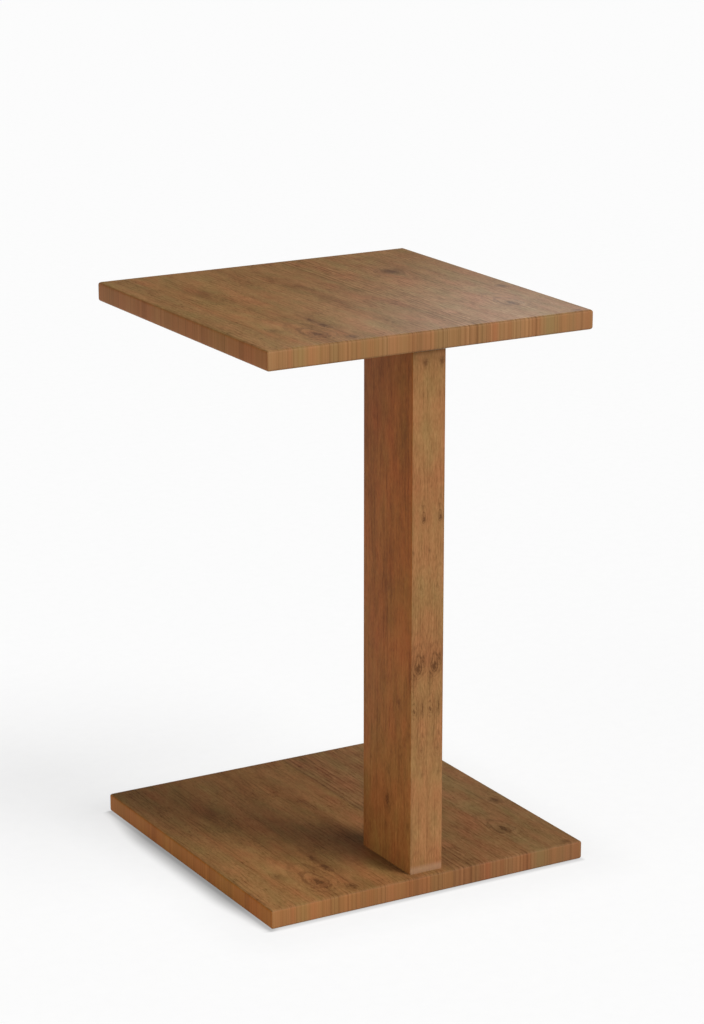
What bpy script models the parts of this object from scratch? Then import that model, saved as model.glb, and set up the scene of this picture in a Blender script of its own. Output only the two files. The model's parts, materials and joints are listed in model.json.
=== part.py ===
"""A C-shaped wooden side table whose square top tips up on a hinge hidden at the end of its post.

Metres, +Z up. The origin is the centre of the footprint, at floor level. The post stands near the
-Y edge. The top turns about an axis along X at the post's outer top edge, and rests shut here.
"""

import math

import bmesh
import bpy
from mathutils import Matrix, Vector

MM = 0.001

# Slabs: the base and the top are alike
SLAB_SIDE = 400 * MM
SLAB_THICK = 22 * MM
SLAB_ROUND = 3 * MM
SLAB_CORNER = 1.2 * MM
STAVE_SEAMS = (-165 * MM, -90 * MM, -20 * MM, 29 * MM, 131 * MM)
HARDWARE_STAVE = 4
TOTAL_HEIGHT = 638 * MM

# Post
POST_WIDTH = 41 * MM
POST_DEPTH = 103 * MM
POST_INSET = 11 * MM
POST_ROUND = 1.2 * MM

# Gaps
GLUE_GAP = 0.3 * MM
FIT_GAP = 0.3 * MM
SHUT_GAP = 0.4 * MM

# Bolts, washers, barrel nuts and dowels that hold the post on the base
BOLT_RADIUS = 4 * MM
BOLT_LENGTH = 80 * MM
BOLT_SPACING = 40 * MM
BOLT_HEAD_RADIUS = 6.5 * MM
BOLT_HEAD_HEIGHT = 8 * MM
HEX_SOCKET_RADIUS = 3.4 * MM
HEX_SOCKET_DEPTH = 4 * MM
WASHER_RADIUS = 10 * MM
WASHER_THICK = 1.6 * MM
COUNTERBORE_DEPTH = 11 * MM
NUT_RADIUS = 6 * MM
NUT_LENGTH = 18 * MM
NUT_HEIGHT = 80 * MM
DOWEL_RADIUS = 4 * MM
DOWEL_LENGTH = 40 * MM
DOWEL_SPACING = 80 * MM
DOWEL_BOTTOM = 10 * MM

# Glides under the base
GLIDE_PROUD = 1 * MM
GLIDE_RADIUS = 9 * MM
GLIDE_THICK = 4 * MM
GLIDE_ROUND = 0.8 * MM
GLIDE_INSET = 22 * MM
GLIDE_SCREW_SINK = 0.6 * MM

# Butt hinge
LEAF_WIDTH = 36 * MM
LEAF_LENGTH = 45 * MM
LEAF_THICK = 1.8 * MM
KNUCKLE_RADIUS = 2.2 * MM
KNUCKLE_COUNT = 5
KNUCKLE_GAP = 0.3 * MM
NOTCH_GAP = 0.2 * MM
PIN_RADIUS = 1.15 * MM
PIN_CLEARANCE = 0.05 * MM
LEAF_SCREW_ROWS = (15 * MM, 35 * MM)

# Magnetic catch
MAGNET_RADIUS = 6 * MM
MAGNET_THICK = 5 * MM
MAGNET_INSET = 13 * MM
STRIKE_LENGTH = 32 * MM
STRIKE_THICK = 1.8 * MM
STRIKE_CORNER = 3 * MM
STRIKE_INSET = 4 * MM
STRIKE_SCREW_INSET = 27 * MM

# Countersunk screws
SCREW_RADIUS = 1.75 * MM
SCREW_HEAD_RADIUS = 3.3 * MM
SCREW_RIM = 0.15 * MM
SCREW_TIP = 4 * MM
SCREW_SINK = 0.05 * MM
RECESS_LENGTH = 3.4 * MM
RECESS_WIDTH = 0.8 * MM
RECESS_DEPTH = 1.3 * MM
LONG_SCREW = 40 * MM
MEDIUM_SCREW = 25 * MM
SHORT_SCREW = 16 * MM

ROUND_STEPS = 24
SMALL_STEPS = 16
MERGE = 1e-6
SHARP_ANGLE = math.radians(35)

# Levels and places that follow from the sizes above
HALF_SIDE = SLAB_SIDE / 2
BASE_BOTTOM = GLIDE_PROUD
BASE_TOP = BASE_BOTTOM + SLAB_THICK
SLAB_UNDERSIDE = TOTAL_HEIGHT - SLAB_THICK
POST_FOOT = BASE_TOP + GLUE_GAP
POST_END = SLAB_UNDERSIDE - SHUT_GAP
POST_FRONT = -HALF_SIDE + POST_INSET
POST_BACK = POST_FRONT + POST_DEPTH
POST_MIDDLE = (POST_FRONT + POST_BACK) / 2
BOARD_MIDDLE = POST_WIDTH / 4
HINGE_AXIS = Vector((0, POST_FRONT, (SLAB_UNDERSIDE + POST_END) / 2))
KNUCKLE_LENGTH = (LEAF_WIDTH - (KNUCKLE_COUNT - 1) * KNUCKLE_GAP) / KNUCKLE_COUNT
MAGNET_Y = POST_BACK - MAGNET_INSET
STRIKE_Y = POST_BACK - STRIKE_INSET - STRIKE_LENGTH / 2
STRIKE_SCREW_Y = POST_BACK - STRIKE_SCREW_INSET

DOWN = Matrix.Rotation(math.pi, 4, "X")
ALONG_X = Matrix.Rotation(math.pi / 2, 4, "Y")


def clear_scene():
    for old in list(bpy.data.objects):
        bpy.data.objects.remove(old)


def new_collection(name):
    made = bpy.data.collections.new(name)
    bpy.context.scene.collection.children.link(made)
    return made


def new_material(name, colour, roughness, metallic=0.0):
    made = bpy.data.materials.new(name)
    made.use_nodes = True
    shader = made.node_tree.nodes["Principled BSDF"]
    shader.inputs["Base Color"].default_value = (*colour, 1)
    shader.inputs["Roughness"].default_value = roughness
    shader.inputs["Metallic"].default_value = metallic
    return made


def box_mesh(size, round_edges=0.0, steps=3):
    """A box about its own centre, with its upright edges rounded if need be."""
    shape = bmesh.new()
    bmesh.ops.create_cube(shape, size=1, matrix=Matrix.Diagonal((*size, 1)))
    if round_edges:
        edges = [
            edge
            for edge in shape.edges
            if abs(edge.verts[0].co.z - edge.verts[1].co.z) > size[2] / 2
        ]
        bmesh.ops.bevel(
            shape, geom=edges, offset=round_edges, segments=steps, profile=0.5, affect="EDGES"
        )
    return mesh_from(shape)


def square_outline(half_side, corner, steps):
    """The points of a square with rounded corners, anticlockwise."""
    points = []
    middle = half_side - corner
    for quarter in range(4):
        toward = math.radians(45 + 90 * quarter)
        centre_x = math.copysign(middle, math.cos(toward))
        centre_y = math.copysign(middle, math.sin(toward))
        for step in range(steps + 1):
            angle = math.radians(90 * (quarter + step / steps))
            x = centre_x + corner * math.cos(angle)
            y = centre_y + corner * math.sin(angle)
            points.append((x, y))
    return points


def slab_mesh(steps=3):
    """A square slab about its own centre. Its level edges are rounded, its upright ones only eased."""
    turns = [math.radians(90 * step / steps) for step in range(steps + 1)]
    levels = [
        (SLAB_ROUND * (1 - math.sin(turn)), SLAB_THICK / 2 - SLAB_ROUND * (1 - math.cos(turn)))
        for turn in turns
    ]
    shape = bmesh.new()
    rings = []
    for inset, height in [(inset, -height) for inset, height in levels] + levels[::-1]:
        outline = square_outline(SLAB_SIDE / 2 - inset, SLAB_CORNER, steps)
        rings.append([shape.verts.new((x, y, height)) for x, y in outline])
    for lower, upper in zip(rings, rings[1:]):
        for place in range(len(lower)):
            before = place - 1
            shape.faces.new((lower[before], lower[place], upper[place], upper[before]))
    shape.faces.new(reversed(rings[0]))
    shape.faces.new(rings[-1])
    return mesh_from(shape)


def cylinder_mesh(radius, length, steps=ROUND_STEPS, turned=Matrix.Identity(4)):
    """A cylinder about its own centre, along Z unless it is turned."""
    shape = bmesh.new()
    bmesh.ops.create_cone(
        shape,
        cap_ends=True,
        segments=steps,
        radius1=radius,
        radius2=radius,
        depth=length,
        matrix=turned,
    )
    return mesh_from(shape)


def mesh_from(shape):
    mesh = bpy.data.meshes.new("shape")
    shape.to_mesh(mesh)
    shape.free()
    return mesh


def turned_mesh(profile, steps, ring=False, name="turning"):
    """The solid that a profile in the XZ plane makes about Z, its outer side from top to bottom.

    A ring's profile is closed and stays clear of the axis.
    """
    outline = bpy.data.meshes.new(name)
    points = [(x, 0, z) for x, z in profile]
    edges = [(i, i + 1) for i in range(len(points) - 1)]
    if ring:
        edges.append((len(points) - 1, 0))
    outline.from_pydata(points, edges, [])
    blank = bpy.data.objects.new(name, outline)
    cutters.objects.link(blank)
    screw = blank.modifiers.new("turn", "SCREW")
    screw.axis = "Z"
    screw.steps = steps
    screw.render_steps = steps
    screw.use_merge_vertices = True
    screw.merge_threshold = MERGE
    return finished_mesh(blank)


def finished_mesh(blank):
    """The blank's mesh with its modifiers applied. The blank itself is removed."""
    bpy.context.view_layer.update()
    graph = bpy.context.evaluated_depsgraph_get()
    mesh = bpy.data.meshes.new_from_object(blank.evaluated_get(graph), depsgraph=graph)
    bpy.data.objects.remove(blank)
    return mesh


def add_part(name, mesh, material, place, carrier=None, turned=Matrix.Identity(4)):
    """An object of the table at a place in the world, carried by an empty if it moves."""
    part = bpy.data.objects.new(name, mesh)
    table.objects.link(part)
    if not mesh.materials:
        mesh.materials.append(material)
        mesh.shade_smooth()
        mesh.set_sharp_from_angle(angle=SHARP_ANGLE)
    location = Vector(place)
    if carrier is not None:
        part.parent = carrier
        location = location - carrier.location
    part.matrix_local = Matrix.Translation(location) @ turned
    return part


def add_cutter(name, mesh, place, turned=Matrix.Identity(4)):
    cutter = bpy.data.objects.new(name, mesh)
    cutters.objects.link(cutter)
    cutter.matrix_local = Matrix.Translation(Vector(place)) @ turned
    cutter.hide_render = True
    cutter.display_type = "WIRE"
    return cutter


def apply_boolean(part, other, operation="DIFFERENCE"):
    step = part.modifiers.new(other.name, "BOOLEAN")
    step.operation = operation
    step.solver = "EXACT"
    step.object = other


def countersunk_screw_mesh(length):
    """A cross-headed screw that points down -Z, with the face of its head at z = 0."""
    head_depth = SCREW_HEAD_RADIUS - SCREW_RADIUS
    profile = [
        (0, 0),
        (SCREW_HEAD_RADIUS, 0),
        (SCREW_HEAD_RADIUS, -SCREW_RIM),
        (SCREW_RADIUS, -SCREW_RIM - head_depth),
        (SCREW_RADIUS, SCREW_TIP - length),
        (0, -length),
    ]
    blank = bpy.data.objects.new("screw_blank", turned_mesh(profile, SMALL_STEPS))
    cutters.objects.link(blank)
    arm = (RECESS_LENGTH, RECESS_WIDTH, 2 * RECESS_DEPTH)
    first = add_cutter("recess_arm", box_mesh(arm), (0, 0, 0))
    quarter_turn = Matrix.Rotation(math.pi / 2, 4, "Z")
    second = add_cutter("recess_cross_arm", box_mesh(arm), (0, 0, 0), quarter_turn)
    apply_boolean(blank, first)
    apply_boolean(blank, second)
    mesh = finished_mesh(blank)
    bpy.data.objects.remove(first)
    bpy.data.objects.remove(second)
    return mesh


def countersink_mesh():
    """The hole through a plate or magnet for a countersunk screw that points down -Z from z = 0."""
    head_depth = SCREW_HEAD_RADIUS - SCREW_RADIUS
    through = MAGNET_THICK + 2 * FIT_GAP
    profile = [
        (0, FIT_GAP),
        (SCREW_HEAD_RADIUS + FIT_GAP, FIT_GAP),
        (SCREW_HEAD_RADIUS + FIT_GAP, -SCREW_RIM),
        (SCREW_RADIUS + FIT_GAP, -SCREW_RIM - head_depth),
        (SCREW_RADIUS + FIT_GAP, -through),
        (0, -through),
    ]
    return turned_mesh(profile, SMALL_STEPS)


def pilot_hole(name, place, length, turned=Matrix.Identity(4)):
    """The clearance hole of a screw whose head is at this place."""
    centre = Vector(place) + turned @ Vector((0, 0, -length / 2 - FIT_GAP))
    mesh = cylinder_mesh(SCREW_RADIUS + FIT_GAP, length, SMALL_STEPS)
    return add_cutter(name, mesh, centre, turned)


def add_slab(prefix, bottom, carrier=None):
    """The staves of one slab, each the part of a rounded slab that lies between two seams."""
    middle = Vector((0, 0, bottom + SLAB_THICK / 2))
    edges = (-HALF_SIDE - GLUE_GAP, *STAVE_SEAMS, HALF_SIDE + GLUE_GAP)
    staves = []
    for number, (left, right) in enumerate(zip(edges, edges[1:]), start=1):
        stave = add_part(f"{prefix}_stave_{number}", slab_mesh(), wood, middle, carrier)
        width = right - left - GLUE_GAP
        strip = box_mesh((width, 1.2 * SLAB_SIDE, 2 * SLAB_THICK))
        place = ((left + right) / 2, 0, middle.z)
        apply_boolean(stave, add_cutter(f"{prefix}_strip_{number}", strip, place), "INTERSECT")
        staves.append(stave)
    return staves


def add_post():
    """The two boards of the post, left and right of its glue line."""
    length = POST_END - POST_FOOT
    middle = Vector((0, POST_MIDDLE, (POST_END + POST_FOOT) / 2))
    boards = []
    for name, side in (("left", -1), ("right", 1)):
        post = box_mesh((POST_WIDTH, POST_DEPTH, length), POST_ROUND)
        board = add_part(f"post_board_{name}", post, wood, middle)
        half = box_mesh((POST_WIDTH, 2 * POST_DEPTH, 1.2 * length))
        shift = side * (POST_WIDTH + GLUE_GAP) / 2
        cutter = add_cutter(f"post_half_{name}", half, middle + Vector((shift, 0, 0)))
        apply_boolean(board, cutter, "INTERSECT")
        boards.append(board)
    return boards


def hex_bolt_mesh():
    """A socket-head bolt that points up +Z, with the underside of its head at z = 0."""
    profile = [
        (0, BOLT_LENGTH),
        (0.8 * BOLT_RADIUS, BOLT_LENGTH),
        (BOLT_RADIUS, BOLT_LENGTH - 0.2 * BOLT_RADIUS),
        (BOLT_RADIUS, 0),
        (BOLT_HEAD_RADIUS, 0),
        (BOLT_HEAD_RADIUS, -BOLT_HEAD_HEIGHT + 0.1 * BOLT_HEAD_RADIUS),
        (0.9 * BOLT_HEAD_RADIUS, -BOLT_HEAD_HEIGHT),
        (0, -BOLT_HEAD_HEIGHT),
    ]
    blank = bpy.data.objects.new("bolt_blank", turned_mesh(profile, ROUND_STEPS))
    cutters.objects.link(blank)
    socket_mesh = cylinder_mesh(HEX_SOCKET_RADIUS, 2 * HEX_SOCKET_DEPTH, 6)
    socket = add_cutter("hex_socket", socket_mesh, (0, 0, -BOLT_HEAD_HEIGHT))
    apply_boolean(blank, socket)
    mesh = finished_mesh(blank)
    bpy.data.objects.remove(socket)
    return mesh


def add_base_fixings(base_board, post_boards):
    """Bolts with washers and barrel nuts, and dowels, with the holes that they sit in."""
    bolt = hex_bolt_mesh()
    washer = washer_mesh()
    nut = barrel_nut_mesh()
    seat = BASE_BOTTOM + COUNTERBORE_DEPTH
    washer_top = seat - FIT_GAP
    bolt_seat = washer_top - WASHER_THICK - FIT_GAP
    bore_length = bolt_seat + BOLT_LENGTH + FIT_GAP
    for number, side in ((1, -1), (2, 1)):
        y = POST_MIDDLE + side * BOLT_SPACING / 2
        add_part(f"base_bolt_{number}", bolt, steel, (0, y, bolt_seat))
        add_part(f"bolt_washer_{number}", washer, steel, (0, y, washer_top - WASHER_THICK / 2))
        add_part(f"barrel_nut_{number}", nut, steel, (0, y, NUT_HEIGHT))
        bore = cylinder_mesh(BOLT_RADIUS + FIT_GAP, bore_length)
        bore_cut = add_cutter(f"bolt_bore_{number}", bore, (0, y, bore_length / 2))
        sink = cylinder_mesh(WASHER_RADIUS + FIT_GAP, 2 * COUNTERBORE_DEPTH)
        sink_cut = add_cutter(f"counterbore_{number}", sink, (0, y, BASE_BOTTOM))
        pocket = cylinder_mesh(NUT_RADIUS + FIT_GAP, NUT_LENGTH + 2 * FIT_GAP, turned=ALONG_X)
        pocket_cut = add_cutter(f"nut_pocket_{number}", pocket, (0, y, NUT_HEIGHT))
        apply_boolean(base_board, bore_cut)
        apply_boolean(base_board, sink_cut)
        for board in post_boards:
            apply_boolean(board, bore_cut)
            apply_boolean(board, pocket_cut)
    for number, (side, board) in enumerate(zip((-1, 1), post_boards), start=1):
        place = Vector(
            (
                side * BOARD_MIDDLE,
                POST_MIDDLE + side * DOWEL_SPACING / 2,
                DOWEL_BOTTOM + DOWEL_LENGTH / 2,
            )
        )
        add_part(f"dowel_{number}", dowel_mesh(), dowel_wood, place)
        hole = cylinder_mesh(DOWEL_RADIUS + FIT_GAP, DOWEL_LENGTH + 2 * FIT_GAP, SMALL_STEPS)
        hole_cut = add_cutter(f"dowel_hole_{number}", hole, place)
        apply_boolean(base_board, hole_cut)
        apply_boolean(board, hole_cut)


def washer_mesh():
    blank = bpy.data.objects.new("washer_blank", cylinder_mesh(WASHER_RADIUS, WASHER_THICK))
    cutters.objects.link(blank)
    hole = add_cutter(
        "washer_hole", cylinder_mesh(BOLT_RADIUS + FIT_GAP, 2 * WASHER_THICK), (0, 0, 0)
    )
    apply_boolean(blank, hole)
    mesh = finished_mesh(blank)
    bpy.data.objects.remove(hole)
    return mesh


def barrel_nut_mesh():
    """A round nut lying along X with its bolt hole across it."""
    body = cylinder_mesh(NUT_RADIUS, NUT_LENGTH, turned=ALONG_X)
    blank = bpy.data.objects.new("nut_blank", body)
    cutters.objects.link(blank)
    hole = add_cutter(
        "nut_hole", cylinder_mesh(BOLT_RADIUS + FIT_GAP, 3 * NUT_RADIUS), (0, 0, 0)
    )
    apply_boolean(blank, hole)
    mesh = finished_mesh(blank)
    bpy.data.objects.remove(hole)
    return mesh


def dowel_mesh():
    """A dowel about its centre, with small chamfers at both ends."""
    half = DOWEL_LENGTH / 2
    chamfer = 1 * MM
    profile = [
        (0, half),
        (DOWEL_RADIUS - chamfer, half),
        (DOWEL_RADIUS, half - chamfer),
        (DOWEL_RADIUS, chamfer - half),
        (DOWEL_RADIUS - chamfer, -half),
        (0, -half),
    ]
    return turned_mesh(profile, SMALL_STEPS)


def glide_mesh():
    """A glide that stands on z = 0, with a countersunk hole from below."""
    hole = SCREW_RADIUS + FIT_GAP
    sink = SCREW_HEAD_RADIUS + FIT_GAP
    rim = GLIDE_SCREW_SINK + SCREW_RIM
    profile = [
        (hole, GLIDE_THICK),
        (GLIDE_RADIUS, GLIDE_THICK),
        (GLIDE_RADIUS, GLIDE_ROUND),
        (GLIDE_RADIUS - 0.3 * GLIDE_ROUND, 0.3 * GLIDE_ROUND),
        (GLIDE_RADIUS - GLIDE_ROUND, 0),
        (sink, 0),
        (sink, rim),
        (hole, rim + sink - hole),
    ]
    return turned_mesh(profile, ROUND_STEPS, ring=True)


def add_glides(base_boards):
    """One glide under each corner, in the staves at the two sides of the base."""
    glide = glide_mesh()
    screw = countersunk_screw_mesh(SHORT_SCREW)
    reach = HALF_SIDE - GLIDE_INSET
    corners = ((-1, -1), (1, -1), (1, 1), (-1, 1))
    for number, (side, end) in enumerate(corners, start=1):
        stave = base_boards[0] if side < 0 else base_boards[-1]
        x = side * reach
        y = end * reach
        add_part(f"glide_{number}", glide, nylon, (x, y, 0))
        head = (x, y, GLIDE_SCREW_SINK)
        add_part(f"glide_screw_{number}", screw, steel, head, turned=DOWN)
        recess = cylinder_mesh(GLIDE_RADIUS + FIT_GAP, 2 * (GLIDE_THICK + FIT_GAP))
        apply_boolean(stave, add_cutter(f"glide_recess_{number}", recess, (x, y, 0)))
        apply_boolean(stave, pilot_hole(f"glide_pilot_{number}", head, SHORT_SCREW, DOWN))


def knuckle_centres(owned):
    """X of each knuckle. The lower leaf owns the outer ones, and the upper leaf the others."""
    pitch = KNUCKLE_LENGTH + KNUCKLE_GAP
    first = -LEAF_WIDTH / 2 + KNUCKLE_LENGTH / 2
    start = 0 if owned == "lower" else 1
    return [first + index * pitch for index in range(start, KNUCKLE_COUNT, 2)]


def add_leaf(owned, other, face, side, carrier=None):
    """A leaf with its knuckles and screws. Its flush face is at height face, on this side of the axis."""
    middle = Vector((0, POST_FRONT + LEAF_LENGTH / 2, face + side * LEAF_THICK / 2))
    plate = box_mesh((LEAF_WIDTH, LEAF_LENGTH, LEAF_THICK))
    leaf = add_part(f"hinge_{owned}_leaf", plate, hinge_steel, middle, carrier)
    for number, x in enumerate(knuckle_centres(other), start=1):
        notch = cylinder_mesh(
            KNUCKLE_RADIUS + FIT_GAP, KNUCKLE_LENGTH + 2 * NOTCH_GAP, turned=ALONG_X
        )
        place = HINGE_AXIS + Vector((x, 0, 0))
        apply_boolean(leaf, add_cutter(f"{owned}_notch_{number}", notch, place))
    for number, x in enumerate(knuckle_centres(owned), start=1):
        knuckle = cylinder_mesh(KNUCKLE_RADIUS, KNUCKLE_LENGTH, turned=ALONG_X)
        place = HINGE_AXIS + Vector((x, 0, 0))
        apply_boolean(leaf, add_cutter(f"{owned}_knuckle_{number}", knuckle, place), "UNION")
    bore = cylinder_mesh(PIN_RADIUS + PIN_CLEARANCE, 2 * LEAF_WIDTH, turned=ALONG_X)
    apply_boolean(leaf, add_cutter(f"{owned}_pin_bore", bore, HINGE_AXIS))
    return leaf


def leaf_screw_places(face):
    return [
        Vector((side * BOARD_MIDDLE, POST_FRONT + row, face))
        for row in LEAF_SCREW_ROWS
        for side in (-1, 1)
    ]


def add_hinge(top_board, post_boards, carrier):
    """The butt hinge, shut, let in to the post's end and to the underside of the top."""
    lower = add_leaf("lower", "upper", POST_END, -1)
    upper = add_leaf("upper", "lower", SLAB_UNDERSIDE, 1, carrier)
    pin = cylinder_mesh(PIN_RADIUS, LEAF_WIDTH, turned=ALONG_X)
    add_part("hinge_pin", pin, hinge_steel, HINGE_AXIS)
    mortise_size = (
        LEAF_WIDTH + 2 * FIT_GAP,
        LEAF_LENGTH + 2 * FIT_GAP,
        2 * (LEAF_THICK + FIT_GAP),
    )
    groove = cylinder_mesh(KNUCKLE_RADIUS + FIT_GAP, mortise_size[0], turned=ALONG_X)
    groove_cut = add_cutter("knuckle_groove", groove, HINGE_AXIS)
    middle_y = POST_FRONT + LEAF_LENGTH / 2
    post_mortise = add_cutter("post_mortise", box_mesh(mortise_size), (0, middle_y, POST_END))
    top_mortise = add_cutter("top_mortise", box_mesh(mortise_size), (0, middle_y, SLAB_UNDERSIDE))
    for board in post_boards:
        apply_boolean(board, groove_cut)
        apply_boolean(board, post_mortise)
    apply_boolean(top_board, groove_cut)
    apply_boolean(top_board, top_mortise)
    long_screw = countersunk_screw_mesh(LONG_SCREW)
    short_screw = countersunk_screw_mesh(SHORT_SCREW)
    for number, head in enumerate(leaf_screw_places(POST_END - SCREW_SINK), start=1):
        board = post_boards[0] if head.x < 0 else post_boards[1]
        add_part(f"lower_leaf_screw_{number}", long_screw, steel, head)
        sink = add_cutter(f"lower_countersink_{number}", countersink_mesh(), head)
        apply_boolean(lower, sink)
        apply_boolean(board, pilot_hole(f"lower_pilot_{number}", head, LONG_SCREW))
    for number, head in enumerate(leaf_screw_places(SLAB_UNDERSIDE + SCREW_SINK), start=1):
        add_part(f"upper_leaf_screw_{number}", short_screw, steel, head, carrier, DOWN)
        sink = add_cutter(f"upper_countersink_{number}", countersink_mesh(), head, DOWN)
        apply_boolean(upper, sink)
        apply_boolean(top_board, pilot_hole(f"upper_pilot_{number}", head, SHORT_SCREW, DOWN))


def add_catch(top_board, post_boards, carrier):
    """Two pot magnets in the post's end, and the strike plate that they hold, under the top."""
    medium_screw = countersunk_screw_mesh(MEDIUM_SCREW)
    short_screw = countersunk_screw_mesh(SHORT_SCREW)
    plate = box_mesh((LEAF_WIDTH, STRIKE_LENGTH, STRIKE_THICK), STRIKE_CORNER)
    place = (0, STRIKE_Y, SLAB_UNDERSIDE + STRIKE_THICK / 2)
    strike = add_part("strike_plate", plate, steel, place, carrier)
    mortise = box_mesh(
        (LEAF_WIDTH + 2 * FIT_GAP, STRIKE_LENGTH + 2 * FIT_GAP, 2 * (STRIKE_THICK + FIT_GAP)),
        STRIKE_CORNER,
    )
    place = (0, STRIKE_Y, SLAB_UNDERSIDE)
    apply_boolean(top_board, add_cutter("strike_mortise", mortise, place))
    for number, (side, board) in enumerate(zip((-1, 1), post_boards), start=1):
        x = side * BOARD_MIDDLE
        magnet = cylinder_mesh(MAGNET_RADIUS, MAGNET_THICK)
        place = (x, MAGNET_Y, POST_END - MAGNET_THICK / 2)
        pot = add_part(f"catch_magnet_{number}", magnet, magnet_nickel, place)
        head = (x, MAGNET_Y, POST_END - SCREW_SINK)
        add_part(f"magnet_screw_{number}", medium_screw, steel, head)
        apply_boolean(pot, add_cutter(f"magnet_countersink_{number}", countersink_mesh(), head))
        pocket = cylinder_mesh(MAGNET_RADIUS + FIT_GAP, 2 * (MAGNET_THICK + FIT_GAP))
        place = (x, MAGNET_Y, POST_END)
        apply_boolean(board, add_cutter(f"magnet_pocket_{number}", pocket, place))
        apply_boolean(board, pilot_hole(f"magnet_pilot_{number}", head, MEDIUM_SCREW))
        head = (x, STRIKE_SCREW_Y, SLAB_UNDERSIDE + SCREW_SINK)
        add_part(f"strike_screw_{number}", short_screw, steel, head, carrier, DOWN)
        sink = add_cutter(f"strike_countersink_{number}", countersink_mesh(), head, DOWN)
        apply_boolean(strike, sink)
        apply_boolean(top_board, pilot_hole(f"strike_pilot_{number}", head, SHORT_SCREW, DOWN))


clear_scene()
table = new_collection("tilt_top_table")
cutters = new_collection("cutters")
wood = new_material("stained_wood", (0.20, 0.095, 0.04), 0.5)
dowel_wood = new_material("dowel_wood", (0.55, 0.38, 0.20), 0.7)
steel = new_material("zinc_steel", (0.55, 0.55, 0.53), 0.35, 1.0)
hinge_steel = new_material("hinge_steel", (0.38, 0.36, 0.33), 0.4, 1.0)
magnet_nickel = new_material("magnet_nickel", (0.62, 0.60, 0.56), 0.25, 1.0)
nylon = new_material("nylon", (0.12, 0.10, 0.08), 0.6)

tilt_axis = bpy.data.objects.new("tilt_axis", None)
tilt_axis.location = HINGE_AXIS
table.objects.link(tilt_axis)

base_staves = add_slab("base", BASE_BOTTOM)
top_staves = add_slab("top", SLAB_UNDERSIDE, tilt_axis)
post = add_post()
add_base_fixings(base_staves[HARDWARE_STAVE - 1], post)
add_glides(base_staves)
add_hinge(top_staves[HARDWARE_STAVE - 1], post, tilt_axis)
add_catch(top_staves[HARDWARE_STAVE - 1], post, tilt_axis)
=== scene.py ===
import json
import math

import bmesh
import bpy
from mathutils import Matrix, Vector

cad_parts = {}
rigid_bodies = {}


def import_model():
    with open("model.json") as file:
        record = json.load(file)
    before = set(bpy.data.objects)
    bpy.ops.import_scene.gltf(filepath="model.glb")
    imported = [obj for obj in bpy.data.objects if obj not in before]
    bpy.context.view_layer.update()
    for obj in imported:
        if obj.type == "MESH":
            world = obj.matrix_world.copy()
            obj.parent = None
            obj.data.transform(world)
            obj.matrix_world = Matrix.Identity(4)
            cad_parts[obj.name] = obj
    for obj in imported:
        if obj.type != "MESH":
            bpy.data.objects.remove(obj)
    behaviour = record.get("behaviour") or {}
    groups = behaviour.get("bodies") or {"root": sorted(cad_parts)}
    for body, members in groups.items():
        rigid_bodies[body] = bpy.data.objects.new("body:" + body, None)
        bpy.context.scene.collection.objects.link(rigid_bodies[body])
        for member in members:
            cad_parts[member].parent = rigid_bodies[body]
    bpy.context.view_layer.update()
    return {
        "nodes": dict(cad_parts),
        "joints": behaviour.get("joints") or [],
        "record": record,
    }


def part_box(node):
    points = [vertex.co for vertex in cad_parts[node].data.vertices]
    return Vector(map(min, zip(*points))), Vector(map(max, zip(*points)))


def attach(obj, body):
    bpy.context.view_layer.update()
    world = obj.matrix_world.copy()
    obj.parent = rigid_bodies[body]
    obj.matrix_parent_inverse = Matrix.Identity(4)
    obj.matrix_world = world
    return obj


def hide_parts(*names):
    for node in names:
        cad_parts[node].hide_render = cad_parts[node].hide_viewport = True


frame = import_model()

MM = 0.001
# The gap between glued boards in the frame, and the finer one that is left here
GLUE_GAP = 0.3 * MM
HAIR_LINE = 0.06 * MM
# Room round whatever is let into the wood
FIT_GAP = 0.3 * MM
# Radii of the wood's rounded edges, and the number of steps round each
SLAB_ROUND = 3 * MM
SLAB_CORNER = 1.2 * MM
POST_ROUND = 1.3 * MM
SLAB_STEPS = 6
POST_STEPS = 5
ROD_STEPS = 48
# An end of an edge that is nearer than this to a limit lies on it
ON_LIMIT = 0.02 * MM
# How far a cutter reaches past the wood's face, so that no skin is left
PAST_FACE = 1 * MM
# Puts a limit well away from every vertex, in metres
FAR_OFF = 1.0
# Radii of the screws, the bolts and the hinge's knuckles, and how far the backs of the hinge's
# leaves are from its axis
SCREW_SHANK = 1.75 * MM
BOLT_SHANK = 4 * MM
KNUCKLE_RADIUS = 2.2 * MM
LEAF_REACH = 2.0 * MM
SHARP_ANGLE = math.radians(40)
STAVE_COUNT = 6
# The stave of each slab that the post is fixed to
HARDWARE_STAVE = 4
SIDES = ("left", "right")

# Places in the frame that the pieces and patterns hang on
BASE_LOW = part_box("base_stave_1")[0]
BASE_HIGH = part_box("base_stave_6")[1]
TOP_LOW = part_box("top_stave_1")[0]
TOP_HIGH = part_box("top_stave_6")[1]
POST_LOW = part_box("post_board_left")[0]
POST_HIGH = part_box("post_board_right")[1]
HINGE = Vector(frame["joints"][0]["pos_m"])
UPRIGHT = Matrix.Identity(4)
ALONG_X = Matrix.Rotation(math.pi / 2, 4, "Y")


# ---------------------------------------------------------------- meshes

def object_from(name, shape):
    """A new object in the scene with the shape as its mesh. The shape is used up."""
    mesh = bpy.data.meshes.new(name)
    shape.to_mesh(mesh)
    shape.free()
    made = bpy.data.objects.new(name, mesh)
    bpy.context.scene.collection.objects.link(made)
    return made


def shade(piece):
    """Smooth faces that meet at sharp edges."""
    piece.data.shade_smooth()
    piece.data.set_sharp_from_angle(angle=SHARP_ANGLE)


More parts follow.
